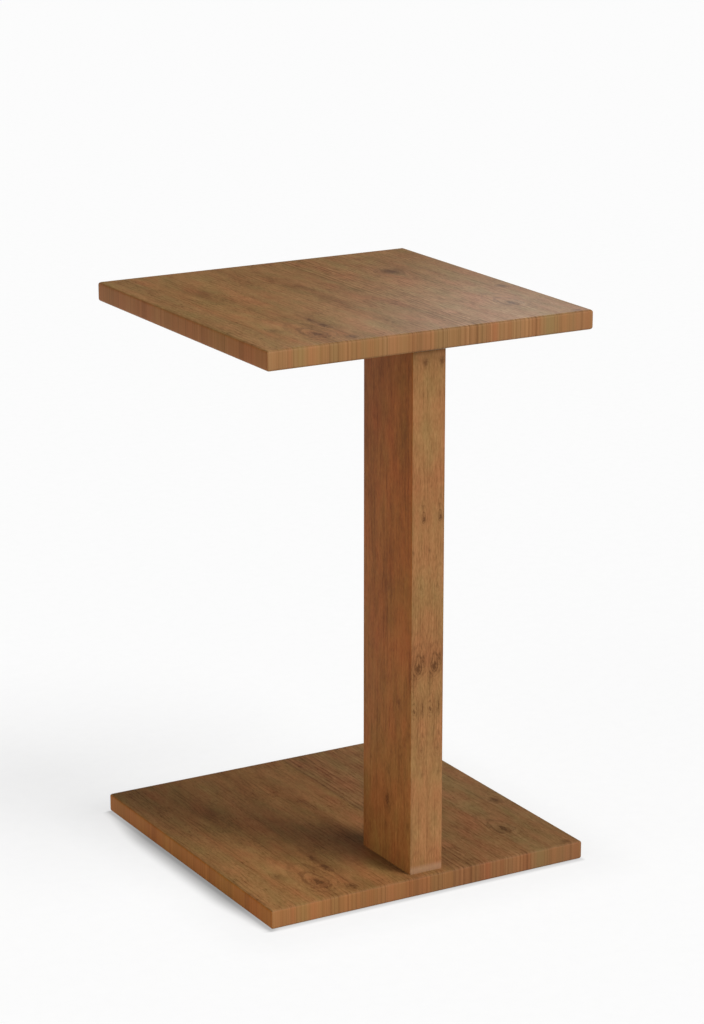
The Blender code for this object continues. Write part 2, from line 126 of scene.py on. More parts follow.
def box_shape(low, high):
    """A plain box, for cutters and for pieces that are worked further."""
    shape = bmesh.new()
    size = Vector(high) - Vector(low)
    middle = (Vector(high) + Vector(low)) / 2
    place = Matrix.Translation(middle) @ Matrix.Diagonal((*size, 1))
    bmesh.ops.create_cube(shape, size=1, matrix=place)
    return shape


def rod_shape(middle, radius, length, turned=UPRIGHT):
    """A plain round rod, upright unless it is turned."""
    shape = bmesh.new()
    bmesh.ops.create_cone(
        shape,
        cap_ends=True,
        segments=ROD_STEPS,
        radius1=radius,
        radius2=radius,
        depth=length,
        matrix=Matrix.Translation(middle) @ turned,
    )
    return shape


def round_outer_edges(shape, low, high, radius, steps):
    """Rounds the edges that lie on two outer sides of the box from low to high."""

    def outer_faces(edge):
        found = 0
        for axis in range(3):
            places = [vertex.co[axis] for vertex in edge.verts]
            for limit in (low[axis], high[axis]):
                if all(abs(place - limit) < ON_LIMIT for place in places):
                    found += 1
        return found

    edges = [edge for edge in shape.edges if outer_faces(edge) == 2]
    bmesh.ops.bevel(
        shape, geom=edges, offset=radius, segments=steps, profile=0.5, affect="EDGES"
    )


def rounded_outline(low, high, inset):
    """The points of the box's plan with rounded corners, anticlockwise, moved in by inset."""
    middle = (Vector(low) + Vector(high)) / 2
    reach = (Vector(high) - Vector(low)) / 2 - Vector((1, 1, 1)) * (inset + SLAB_CORNER)
    points = []
    for quarter, (side_x, side_y) in enumerate(((1, 1), (-1, 1), (-1, -1), (1, -1))):
        for step in range(SLAB_STEPS + 1):
            angle = math.radians(90 * (quarter + step / SLAB_STEPS))
            x = middle.x + side_x * reach.x + SLAB_CORNER * math.cos(angle)
            y = middle.y + side_y * reach.y + SLAB_CORNER * math.sin(angle)
            points.append((x, y))
    return points


def slab_shape(low, high):
    """A slab whose level edges are rounded and whose upright ones are only eased."""
    levels = []
    for step in range(SLAB_STEPS + 1):
        turn = math.radians(90 * step / SLAB_STEPS)
        levels.append((SLAB_ROUND * (1 - math.sin(turn)), SLAB_ROUND * (1 - math.cos(turn))))
    heights = [(inset, low.z + drop) for inset, drop in levels]
    heights += [(inset, high.z - drop) for inset, drop in reversed(levels)]
    shape = bmesh.new()
    rings = []
    for inset, height in heights:
        outline = rounded_outline(low, high, inset)
        rings.append([shape.verts.new((x, y, height)) for x, y in outline])
    for lower, upper in zip(rings, rings[1:]):
        for place in range(len(lower)):
            before = place - 1
            shape.faces.new((lower[before], lower[place], upper[place], upper[before]))
    shape.faces.new(reversed(rings[0]))
    shape.faces.new(rings[-1])
    return shape


def keep_between(shape, left, right):
    """Cuts a shape off square at two places along X and closes the cuts.

    None in a place leaves that end whole.
    """
    for place, side in ((left, -1), (right, 1)):
        if place is None:
            continue
        geometry = shape.verts[:] + shape.edges[:] + shape.faces[:]
        cut = bmesh.ops.bisect_plane(
            shape, geom=geometry, plane_co=(place, 0, 0), plane_no=(side, 0, 0), clear_outer=True
        )
        edges = [part for part in cut["geom_cut"] if isinstance(part, bmesh.types.BMEdge)]
        bmesh.ops.contextual_create(shape, geom=edges)
    bmesh.ops.recalc_face_normals(shape, faces=shape.faces[:])


def give_material(piece, material):
    piece.data.materials.clear()
    piece.data.materials.append(material)


def cut_all(piece, cutters):
    """Cuts every cutter from the piece, applies the cuts and removes the cutters."""
    for cutter in cutters:
        step = piece.modifiers.new(cutter.name, "BOOLEAN")
        step.operation = "DIFFERENCE"
        step.solver = "EXACT"
        step.object = cutter
    bpy.context.view_layer.update()
    graph = bpy.context.evaluated_depsgraph_get()
    cut = bpy.data.meshes.new_from_object(piece.evaluated_get(graph), depsgraph=graph)
    piece.modifiers.clear()
    piece.data = cut
    for cutter in cutters:
        bpy.data.objects.remove(cutter)


def plate_pocket(node):
    """A cutter round the box of a plate that is let into the wood from below."""
    low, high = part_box(node)
    spread = Vector((FIT_GAP, FIT_GAP, FIT_GAP))
    shape = box_shape(low - spread - Vector((0, 0, PAST_FACE)), high + spread)
    return object_from(f"pocket_{node}", shape)


def round_pocket(node, radius, low_z=None, high_z=None):
    """An upright round cutter on a node's axis, from its lowest to its highest point."""
    low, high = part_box(node)
    bottom = low.z - FIT_GAP if low_z is None else low_z
    top = high.z + FIT_GAP if high_z is None else high_z
    middle = Vector(((low.x + high.x) / 2, (low.y + high.y) / 2, (bottom + top) / 2))
    return object_from(f"bore_{node}", rod_shape(middle, radius, top - bottom))


def node_radius(node):
    """Half a round node's width."""
    low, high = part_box(node)
    return (high.y - low.y) / 2


# ---------------------------------------------------------------- looks of the wood

PER_METRE = 1000.0
# Parts of the normal between which one face's pattern gives way to the next face's
FACING = (0.6, 0.8)
# Heights in metres between which the base's tints give way to the top's
BASE_OR_TOP = (0.1, 0.2)
SLAB_SEED = 4.0
SIDE_SEED = 21.0
POST_SEED = 9.0
WIDE_SEED = 31.0
DOWEL_SEED = 55.0
# Noises as (scale across the grain, scale along it, seed, detail), scales per mm.
# SWAY to WORN make the plain wood, HUE its red and olive places, and the rest the knots,
# the bands and the slabs' ends.
SWAY = (0.03, 0.005, 3.0, 2.0)
BROAD = (0.03, 0.005, 0.0, 2.0)
MOTTLE = (0.10, 0.035, 19.0, 4.0)
STREAK = (0.16, 0.007, 7.0, 2.0)
FINE = (0.42, 0.040, 17.0, 4.0)
FIBRE = (0.9, 0.16, 5.0, 2.0)
LINE_PLACES = (0.08, 0.012, 11.0, 2.0)
PORE = (0.7, 0.10, 9.0, 1.0)
WORN = (0.025, 0.015, 13.0, 2.0)
HUE = (0.045, 0.016, 31.0, 4.0)
KNOT_SIDEWAYS = (0.18, 0.12, 2.0, 4.0)
KNOT_LENGTHWAYS = (0.18, 0.12, 8.0, 4.0)
DRIFT = (0.09, 0.02, 5.0, 2.0)
KNOT_BREAKS = (0.7, 0.4, 12.0, 3.0)
BAND_BREAKS = (0.06, 0.02, 61.0, 3.0)
HAIR = (0.62, 0.05, 71.0, 3.0)
END_PATCHES = (0.045, 0.0, 81.0, 3.0)
# How much each noise moves the wood's tone, times the wood's contrast for all but the fibre
BROAD_WEIGHT = 0.45
MOTTLE_WEIGHT = 0.40
STREAK_WEIGHT = 0.20
FINE_WEIGHT = 0.35
FIBRE_WEIGHT = 0.60
# How deep the growth lines and the pores are in the wood's relief
LINE_RELIEF = 0.25
PORE_RELIEF = 0.35
# Spans over which the growth lines, the pores and the worn places come in, and the wood goes
# from redder to more olive
LINE_EDGE = (0.30, 0.5)
LINE_SPAN = (-0.08, 0.14)
PORE_SPAN = (0.07, 0.19)
WORN_SPAN = (-0.12, 0.12)
HUE_SPAN = (-0.18, 0.18)
PATCH_SPAN = (-0.14, 0.14)
# Breaks as (low noise, high noise, strength at the low one, strength at the high one)
KNOT_BREAK_SPAN = (-0.2, 0.2, 0.55, 1.45)
BAND_BREAK_SPAN = (-0.16, 0.10, 0.25, 1.15)
# How far the growth rings sway and the grain drifts sideways, in mm from side to side
SWAY_REACH = 15.0
DRIFT_REACH = 3.0

# How far the knots' outlines wobble, in mm from side to side
SLAB_WOBBLE = 13.0
POST_WOBBLE = 6.0
WIDE_WOBBLE = 9.0
# The wobble along the grain, as a share of the wobble across it
LONG_WOBBLE = 1.4
# How far a knot bends the grain and shows rings, in its own half widths squared
KNOT_REACH = 3.0
RING_REACH = 8.0
# Turn of the rings' wave over a half width, in radians, and the part of the wave that shows
RING_TURN = 5.5
RING_CREST = (0.2, 1.0)
# Shortens distances above a knot, so that its rings are drawn out into arches there
ARCH_STRETCH = 0.42
# The share of a knot's darkness that goes to its surroundings
HALO_SHARE = 0.22
# The most that a knot's brown covers the wood
DARKEST_KNOT = 0.9
# The tone of the slabs' ends, as (contrast, middle)
END_TONE = (0.8, 0.54)
# Roughness of the darkest and of the lightest wood
SLAB_ROUGHNESS = (0.62, 0.48)
POST_ROUGHNESS = (0.62, 0.50)
DOWEL_ROUGHNESS = (0.75, 0.6)
WOOD_GLOSS = 0.1
# Reliefs as (strength, depth in metres)
WOOD_RELIEF = (0.18, 0.15 * MM)
DOWEL_RELIEF = (0.2, 0.1 * MM)
METAL_RELIEF = (0.08, 0.05 * MM)
NYLON_RELIEF = (0.2, 0.05 * MM)

# Colours of the wood from its darkest tone to its lightest
WOOD_STOPS = (
    (0.0, (0.105, 0.043, 0.014)),
    (0.25, (0.173, 0.077, 0.027)),
    (0.50, (0.246, 0.117, 0.043)),
    (0.75, (0.314, 0.158, 0.062)),
    (1.0, (0.385, 0.205, 0.086)),
)
# Tints that the colour is multiplied by
REDDER = (1.09, 0.93, 0.94)
OLIVER = (0.93, 1.04, 0.97)
# Painted shade: faces that face -X get a darker, warmer tint than the milder ones of the faces
# that face +X
LEFT_SIDE_PAINTED_SHADE = (1.0, 0.73, 0.57)
RIGHT_SIDE_TINT = (1.0, 0.92, 0.86)
RIGHT_WIDE_TINT = (1.0, 0.90, 0.80)
END_TINT = (0.98, 1.0, 1.07)
END_REDDER = (1.08, 0.93, 0.90)
END_OLIVER = (0.97, 1.01, 1.01)
# Painted shade on the base's sides that face -X
BASE_LEFT_SIDE_PAINTED_SHADE = (1.16, 0.78, 0.32)
BASE_END_TINT = (0.97, 0.91, 0.88)
# Painted shade: the slabs' rounded upper edges are a little darker, dimming the band of light that
# the lamps give them, where the normal's Z is near this slope
ARRIS_PAINTED_SHADE = (0.86, 0.86, 0.86)
ARRIS_SLOPE = 0.72
ARRIS_SPAN = (0.12, 0.26)
# Painted shade on the post's wide faces: darker and warmer high up, and lighter near the foot as
# painted bounce light from the base
WIDE_PAINTED_SHADE_HIGH = (0.95, 0.63, 0.29)
WIDE_PAINTED_BOUNCE_LOW = (1.22, 1.04, 0.73)
# Height in mm where the wide faces' painted bounce light at the foot has given way to their
# painted shade
WIDE_PAINTED_SHADE_REACH = 330.0
# Painted shade: the base is darker than the top, as if in the top's shadow, and more so toward its
# right, stave by stave
BASE_PAINTED_SHADE = (0.96, 0.90, 0.87)
BASE_STAVE_PAINTED_SHADES = (
    (1.05, 1.07, 1.06),
    (1.02, 1.04, 1.04),
    (0.96, 0.96, 0.96),
    (0.93, 0.93, 0.94),
    (0.82, 0.83, 0.89),
    (0.84, 0.91, 1.00),
)
KNOT_BROWN = (0.082, 0.031, 0.009)

# Knots as (across, along, half width, half length, spread of the grain, darkness, rings), with
# lengths in mm
SLAB_KNOTS = (
    (115, 84, 10, 13, 0.7, 0.88, 0.22),
    (-91, -95, 2.4, 11, 0.5, 0.72, 0.0),
    (-90, -122, 3.6, 9, 0.8, 0.95, 0.25),
    (-118, -158, 8, 10, 0.8, 0.44, 0.60),
    (-91, -184, 5, 5, 0.7, 0.75, 0.08),
    (-150, -120, 5, 9, 0.6, 0.42, 0.06),
    (182, -45, 5, 7, 0.7, 0.66, 0.22),
    (143, -126, 8, 9, 0.8, 0.46, 0.50),
    (-125, 82, 10, 14, 0.5, 0.24, 0.04),
    (182, -194, 5, 4, 0.5, 0.50, 0.0),
)
# Darker glue lines and growth bands of the slabs as (place across, half width, depth)
SLAB_BANDS = (
    (-89, 0.8, 0.10),
    (-55, 1.0, 0.10),
    (-20, 9.0, 0.14),
    (30.5, 1.4, 0.20),
    (37, 1.4, 0.22),
    (44, 1.3, 0.16),
    (51, 1.4, 0.20),
    (58, 1.2, 0.12),
    (66, 1.4, 0.16),
    (131, 0.9, 0.12),
    (157, 0.9, 0.10),
)
# Fine stripes between two places across, lengths in mm
STRIPE_PERIOD = 4.9
STRIPE_ZONE = (29, 131)
STRIPE_FADE = 12
STRIPE_DEPTH = 0.06
HAIR_DEPTH = 0.75
# Each stave's own tint, from the left
STAVE_TINTS = (
    (0.97, 1.10, 1.10),
    (1.00, 1.07, 1.04),
    (0.98, 1.06, 1.05),
    (0.95, 1.02, 1.02),
    (1.00, 1.08, 1.10),
    (0.98, 1.08, 1.10),
)
# Knots of the post's narrow faces: across from each board's left edge, up from the floor
POST_KNOTS = (
    (16, 601, 3.2, 5, 0.6, 0.48, 0.05),
    (14.5, 429, 1.8, 2.6, 0.8, 0.66, 0.45),
    (14.0, 440, 0.8, 6.0, 0.3, 0.48, 0.0),
    (1.5, 393, 1.5, 2.5, 0.5, 0.35, 0.0),
    (12.5, 351, 2.8, 4.0, 0.8, 0.10, 0.25),
    (9.2, 262, 2.9, 4.5, 0.9, 0.88, 0.55),
    (15, 270, 2.4, 6, 0.5, 0.34, 0.30),
    (4, 250, 2.4, 6, 0.5, 0.20, 0.34),
    (4.2, 212, 2.0, 3.0, 0.7, 0.34, 0.45),
    (14.8, 214, 1.1, 7.0, 0.4, 0.45, 0.30),
    (14, 168, 2.8, 5, 0.7, 0.16, 0.26),
    (14.5, 138, 1.5, 2, 0.4, 0.28, 0.0),
)
# Knots of the post's wide faces: across is the place along the table's depth
WIDE_KNOTS = (
    (-140, 95, 6, 11, 0.7, 0.52, 0.20),
    (-163, 216, 3, 5, 0.7, 0.50, 0.06),
    (-139, 341, 6, 7, 0.6, 0.20, 0.08),
    (-184, 78, 3, 5, 0.6, 0.32, 0.06),
    (-138, 63, 4, 4, 0.6, 0.26, 0.06),
    (-187, 251, 1.5, 14, 0.2, 0.32, 0.0),
)
# The narrow face on the seat's side shows the same knots this much lower, in mm
INNER_SHIFT = 147.0
# Keeps the left board's outer edge from falling below zero, and so out of its own pattern
MODULO_SLACK = 0.001
# The pale band at the foot of the post's narrow faces, heights in mm
FOOT_SPAN = (27.0, 34.0)
FOOT_SHARE = 0.4
FOOT_PALE = (0.42, 0.27, 0.17)

# Metals as (slot, colour, roughness)
METALS = (
    ("zinc_steel", (0.62, 0.62, 0.60), 0.32),
    ("hinge_steel", (0.42, 0.38, 0.32), 0.38),
    ("magnet_nickel", (0.66, 0.63, 0.58), 0.25),
)
# Scales of the metals' scratches along X, Y and Z and of their stains, per metre
BRUSH_SCALE = (40.0, 900.0, 40.0)
STAIN_SCALE = 180.0
# How much scratches and stains change the metals' brightness, and stains their roughness
BRUSH_SHARE = 0.30
STAIN_SHARE = 0.25
STAIN_ROUGHNESS = 0.3
NYLON_BROWN = (0.045, 0.032, 0.024)
SPECKLE_SCALE = 900.0
RUB_SCALE = 120.0
# Rubbed nylon as (low noise, high noise, roughness at the low one, roughness at the high one)
RUB_SPAN = (0.3, 0.7, 0.45, 0.7)
DOWEL_DARK = (0.36, 0.22, 0.11)
DOWEL_PALE = (0.66, 0.48, 0.29)


# ---------------------------------------------------------------- material tools

class Tree:
    """A material's nodes, with short calls for the few kinds that the patterns use."""

    def __init__(self, name, group=False):
        if group:
            self.owner = bpy.data.node_groups.new(name, "ShaderNodeTree")
            self.nodes = self.owner.nodes
            self.links = self.owner.links
            return
        self.owner = bpy.data.materials.new(name)
        self.owner.use_nodes = True
        self.nodes = self.owner.node_tree.nodes
        self.links = self.owner.node_tree.links
        self.shader = self.nodes["Principled BSDF"]

    def add(self, kind, **settings):
        node = self.nodes.new(kind)
        for name, value in settings.items():
            setattr(node, name, value)
        return node

    def feed(self, socket, value):
        if isinstance(value, bpy.types.NodeSocket):
            self.links.new(value, socket)
        elif value is not None:
            socket.default_value = value

    def math(self, operation, first, second=None, third=None):
        node = self.add("ShaderNodeMath", operation=operation)
        for socket, value in zip(node.inputs, (first, second, third)):
            self.feed(socket, value)
        return node.outputs[0]

    def combine(self, x=0.0, y=0.0, z=0.0):
        node = self.add("ShaderNodeCombineXYZ")
        for socket, value in zip(node.inputs, (x, y, z)):
            self.feed(socket, value)
        return node.outputs[0]

    def separate(self, vector):
        node = self.add("ShaderNodeSeparateXYZ")
        self.feed(node.inputs[0], vector)
        return node.outputs

    def noise(self, vector, scale=1.0, detail=2.0, roughness=0.5):
        node = self.add("ShaderNodeTexNoise")
        self.feed(node.inputs["Vector"], vector)
        self.feed(node.inputs["Scale"], scale)
        self.feed(node.inputs["Detail"], detail)
        self.feed(node.inputs["Roughness"], roughness)
        return node.outputs["Fac"]

    def fall(self, square, reach):
        """Fades from 1 at the middle, for a squared distance."""
        return self.math("EXPONENT", self.math("MULTIPLY", square, -1.0 / reach))

    def remap(self, value, low, high, new_low=0.0, new_high=1.0, smooth=False):
        node = self.add("ShaderNodeMapRange")
        if smooth:
            node.interpolation_type = "SMOOTHSTEP"
        for socket, entry in zip(node.inputs, (value, low, high, new_low, new_high)):
            self.feed(socket, entry)
        return node.outputs[0]

    def ramp(self, value, stops):
        """A colour ramp with (place, colour) stops."""
        node = self.add("ShaderNodeValToRGB")
        self.feed(node.inputs[0], value)
        elements = node.color_ramp.elements
        while len(elements) < len(stops):
            elements.new(0.5)
        for element, (place, colour) in zip(elements, stops):
            element.position = place
            element.color = (*colour, 1)
        return node.outputs[0]

    def mix(self, share, first, second, blend="MIX"):
        node = self.add("ShaderNodeMix", data_type="RGBA", blend_type=blend)
        self.feed(node.inputs["Factor"], share)
        for name, value in (("A", first), ("B", second)):
            if isinstance(value, tuple):
                value = (*value, 1)
            socket = [s for s in node.inputs if s.name == name and s.type == "RGBA"][0]
            self.feed(socket, value)
        return [s for s in node.outputs if s.type == "RGBA"][0]

    def bump(self, height, relief):
        """Gives the surface a (strength, depth) relief that follows a height."""
        strength, depth = relief
        node = self.add("ShaderNodeBump")
        self.feed(node.inputs["Height"], height)
        node.inputs["Strength"].default_value = strength
        node.inputs["Distance"].default_value = depth
        self.links.new(node.outputs[0], self.shader.inputs["Normal"])

    def object_place(self):
        return self.add("ShaderNodeTexCoord").outputs["Object"]

    def object_normal(self):
        return self.add("ShaderNodeTexCoord").outputs["Normal"]

    def set(self, **values):
        """Sets sockets of the shader, with underscores for the spaces in their names."""
        for name, value in values.items():
            self.feed(self.shader.inputs[name.replace("_", " ")], value)


def sum_of_squares(tree, first, second):
    square = tree.math("MULTIPLY", first, first)
    return tree.math("ADD", square, tree.math("MULTIPLY", second, second))


def knot_group():
    """One knot: how far the grain bends round it and how dark it makes each place.

    Lengths are in mm, with V along the grain.
    """
    tree = Tree("knot", group=True)
    sockets = tree.owner.interface
    places = ("U", "V", "Knot U", "Knot V")
    for name in (*places, "Half width", "Half length", "Spread", "Core", "Rings"):
        sockets.new_socket(name, in_out="INPUT", socket_type="NodeSocketFloat")
    for name in ("Bend", "Dark"):
        sockets.new_socket(name, in_out="OUTPUT", socket_type="NodeSocketFloat")
    start = tree.add("NodeGroupInput").outputs
    end = tree.add("NodeGroupOutput").inputs
    off = tree.math("SUBTRACT", start["U"], start["Knot U"])
    above = tree.math("SUBTRACT", start["V"], start["Knot V"])
    across = tree.math("DIVIDE", off, start["Half width"])
    along = tree.math("DIVIDE", above, start["Half length"])
    square = sum_of_squares(tree, across, along)
    core = tree.fall(square, 1.0)
    near = tree.fall(square, KNOT_REACH)
    bend = tree.math("MULTIPLY", tree.math("MULTIPLY", off, near), start["Spread"])
    tree.feed(end["Bend"], tree.math("MULTIPLY", bend, -1.0))
    stretched = tree.math("MULTIPLY", tree.math("MAXIMUM", along, 0.0), ARCH_STRETCH)
    arch = tree.math("ADD", tree.math("MINIMUM", along, 0.0), stretched)
    span = sum_of_squares(tree, across, arch)
    wave = tree.math("SINE", tree.math("MULTIPLY", tree.math("SQRT", span), RING_TURN))
    rings = tree.math("MULTIPLY", tree.remap(wave, *RING_CREST), tree.fall(span, RING_REACH))
    dark = tree.math("MULTIPLY", core, start["Core"])
    dark = tree.math("MULTIPLY_ADD", near, tree.math("MULTIPLY", start["Core"], HALO_SHARE), dark)
    tree.feed(end["Dark"], tree.math("MULTIPLY_ADD", rings, start["Rings"], dark))
    return tree.owner


def grain_noise(tree, u, v, kind, seed=0.0):
    """Noise about zero, in streaks along v."""
    u_scale, v_scale, own_seed, detail = kind
    scaled = tree.math("MULTIPLY", u, u_scale), tree.math("MULTIPLY", v, v_scale)
    place = tree.combine(*scaled, seed + own_seed)
    return tree.math("SUBTRACT", tree.noise(place, 1.0, detail), 0.5)


def add_up(tree, start, parts):
    """start plus every part times its weight."""
    for part, weight in parts:
        start = tree.math("MULTIPLY_ADD", part, weight, start)
    return start


def bent_grain(tree, u, v, knots, wobble):
    """(u bent round the knots, how dark the knots make each place), with outlines that wobble."""
    sideways = grain_noise(tree, u, v, KNOT_SIDEWAYS)
    lengthways = grain_noise(tree, u, v, KNOT_LENGTHWAYS)
    wavy_u = tree.math("MULTIPLY_ADD", sideways, wobble, u)
    wavy_v = tree.math("MULTIPLY_ADD", lengthways, LONG_WOBBLE * wobble, v)
    bent = tree.math("MULTIPLY_ADD", grain_noise(tree, u, v, DRIFT), DRIFT_REACH, u)
    dark = 0.0
    for knot_u, knot_v, half_width, half_length, spread, core, rings in knots:
        node = tree.add("ShaderNodeGroup", node_tree=knot_tree)
        values = (wavy_u, wavy_v, knot_u, knot_v, half_width, half_length, spread, core, rings)
        for socket, value in zip(node.inputs, values):
            tree.feed(socket, value)
        bent = tree.math("ADD", node.outputs["Bend"], bent)
        dark = tree.math("ADD", node.outputs["Dark"], dark)
    broken = tree.remap(grain_noise(tree, u, v, KNOT_BREAKS), *KNOT_BREAK_SPAN)
    return bent, tree.math("MINIMUM", tree.math("MULTIPLY", dark, broken), DARKEST_KNOT)


def wood_tones(tree, u, v, seed, line_period, line_depth, contrast=1.0, pore_depth=0.3):
    """(tone from 0 dark to 1 light, height for the bump) of planed wood with its grain along v."""
    ring = tree.math("MULTIPLY_ADD", grain_noise(tree, u, v, SWAY, seed), SWAY_REACH, u)
    broad = grain_noise(tree, ring, v, BROAD, seed)
    mottle = grain_noise(tree, u, v, MOTTLE, seed)
    streak = grain_noise(tree, ring, v, STREAK, seed)
    fine = grain_noise(tree, ring, v, FINE, seed)
    fibre = grain_noise(tree, u, v, FIBRE, seed)
    phase = tree.math("FRACT", tree.math("DIVIDE", ring, line_period))
    off_line = tree.math("ABSOLUTE", tree.math("SUBTRACT", phase, 0.5))
    line = tree.remap(off_line, *LINE_EDGE, smooth=True)
    where = grain_noise(tree, ring, v, LINE_PLACES, seed)
    line = tree.math("MULTIPLY", line, tree.remap(where, *LINE_SPAN))
    pore = tree.remap(grain_noise(tree, u, v, PORE, seed), *PORE_SPAN)
    worn = tree.remap(grain_noise(tree, u, v, WORN, seed), *WORN_SPAN)
    pore = tree.math("MULTIPLY", pore, worn)
    parts = [
        (broad, BROAD_WEIGHT * contrast),
        (mottle, MOTTLE_WEIGHT * contrast),
        (streak, STREAK_WEIGHT * contrast),
        (fine, FINE_WEIGHT * contrast),
        (fibre, FIBRE_WEIGHT),
        (line, -line_depth),
        (pore, -pore_depth),
    ]
    tone = add_up(tree, 0.5, parts)
    return tone, add_up(tree, fibre, [(line, -LINE_RELIEF), (pore, -PORE_RELIEF)])


def blend(tree, share, first, second):
    """A value that goes from first to second as share goes from 0 to 1."""
    return tree.math("MULTIPLY_ADD", tree.math("SUBTRACT", second, first), share, first)


def wood_colour(tree, tone, knots, u, v, seed):
    """Colour from the tone, with redder and more olive places and dark brown knots."""
    colour = tree.ramp(tone, WOOD_STOPS)
    hue = grain_noise(tree, u, v, HUE, seed)
    red = tree.mix(1.0, colour, REDDER, "MULTIPLY")
    olive = tree.mix(1.0, colour, OLIVER, "MULTIPLY")
    colour = tree.mix(tree.remap(hue, *HUE_SPAN), red, olive)
    return tree.mix(knots, colour, KNOT_BROWN)


def slab_bands(tree, u, v, tone):
    """Darkens the tone along the slabs' glue lines and growth bands, and stripes one zone."""
    broken = tree.remap(grain_noise(tree, u, v, BAND_BREAKS), *BAND_BREAK_SPAN)
    for middle, half, depth in SLAB_BANDS:
        off = tree.math("ABSOLUTE", tree.math("SUBTRACT", u, float(middle)))
        band = tree.remap(off, 0.0, half * 2, 1.0, 0.0, smooth=True)
        tone = tree.math("MULTIPLY_ADD", tree.math("MULTIPLY", band, broken), -depth, tone)
    zone_middle = sum(STRIPE_ZONE) / 2
    zone_half = (STRIPE_ZONE[1] - STRIPE_ZONE[0]) / 2
    off = tree.math("ABSOLUTE", tree.math("SUBTRACT", u, zone_middle))
    zone = tree.remap(off, zone_half - STRIPE_FADE, zone_half, 1.0, 0.0)
    wave = tree.math("SINE", tree.math("MULTIPLY", u, 2 * math.pi / STRIPE_PERIOD))
    hair = grain_noise(tree, u, v, HAIR)
    stripes = tree.math("MULTIPLY", wave, zone)
    hairs = tree.math("MULTIPLY", hair, zone)
    return add_up(tree, tone, [(stripes, STRIPE_DEPTH), (hairs, HAIR_DEPTH)])


def facing(tree, part):
    """1 where the surface faces along an axis, from that part of its normal."""
    return tree.remap(tree.math("ABSOLUTE", part), *FACING)


def to_right(tree, normal):
    """1 where the surface faces towards +X, 0 where it faces towards -X."""
    return tree.remap(normal["X"], -0.1, 0.1)


def finish_wood(tree, colour, height, rough):
    """Oiled wood's low gloss and shallow relief."""
    tree.set(Base_Color=colour, Roughness=rough, Specular_IOR_Level=WOOD_GLOSS)
    tree.bump(height, WOOD_RELIEF)


def make_slab_wood():
    """Brown oiled knotty boards, grain along Y. The pattern runs straight down the edges."""
    tree = Tree("slab_wood")
    place = tree.separate(tree.object_place())
    normal = tree.separate(tree.object_normal())
    u = tree.math("MULTIPLY", place["X"], PER_METRE)
    v = tree.math("MULTIPLY", place["Y"], PER_METRE)
    on_side = facing(tree, normal["X"])
    on_end = facing(tree, normal["Y"])
    bent, knots = bent_grain(tree, u, v, SLAB_KNOTS, SLAB_WOBBLE)
    tone, height = wood_tones(
        tree, bent, v, SLAB_SEED, line_period=5.3, line_depth=0.26, contrast=1.05
    )
    tone = slab_bands(tree, bent, v, tone)
    end_tone = tree.math("MULTIPLY_ADD", tree.math("SUBTRACT", tone, 0.5), *END_TONE)
    tone = blend(tree, on_end, tone, end_tone)
    side_tone, side_height = wood_tones(
        tree, v, u, SIDE_SEED, line_period=5.5, line_depth=0.22, contrast=1.4
    )
    tone = blend(tree, on_side, tone, side_tone)
    height = blend(tree, on_side, height, side_height)
    knots = blend(tree, on_side, knots, 0.0)
    colour = wood_colour(tree, tone, knots, u, v, SLAB_SEED)
    stave_tint = tree.add("ShaderNodeObjectInfo").outputs["Color"]
    colour = tree.mix(1.0, colour, stave_tint, "MULTIPLY")
    in_base = tree.remap(place["Z"], *BASE_OR_TOP, 1.0, 0.0)
    # Painted shade on the sides that face -X; those that face +X get a milder tint
    side_shade_tint = tree.mix(in_base, LEFT_SIDE_PAINTED_SHADE, BASE_LEFT_SIDE_PAINTED_SHADE)
    side_shade_tint = tree.mix(to_right(tree, normal), side_shade_tint, RIGHT_SIDE_TINT)
    patch = tree.remap(grain_noise(tree, u, v, END_PATCHES), *PATCH_SPAN)
    end_tint = tree.mix(patch, END_REDDER, END_OLIVER)
    end_tint = tree.mix(1.0, end_tint, tree.mix(in_base, END_TINT, BASE_END_TINT), "MULTIPLY")
    # Painted shade on the slabs' rounded upper edges
    off_arris = tree.math("ABSOLUTE", tree.math("SUBTRACT", normal["Z"], ARRIS_SLOPE))
    arris_shade_share = tree.remap(off_arris, *ARRIS_SPAN, 1.0, 0.0)
    for share, tint in ((on_side, side_shade_tint), (on_end, end_tint), (arris_shade_share, ARRIS_PAINTED_SHADE)):
        colour = tree.mix(share, colour, tree.mix(1.0, colour, tint, "MULTIPLY"))
    finish_wood(tree, colour, height, tree.remap(tone, 0.0, 1.0, *SLAB_ROUGHNESS))
    return tree.owner


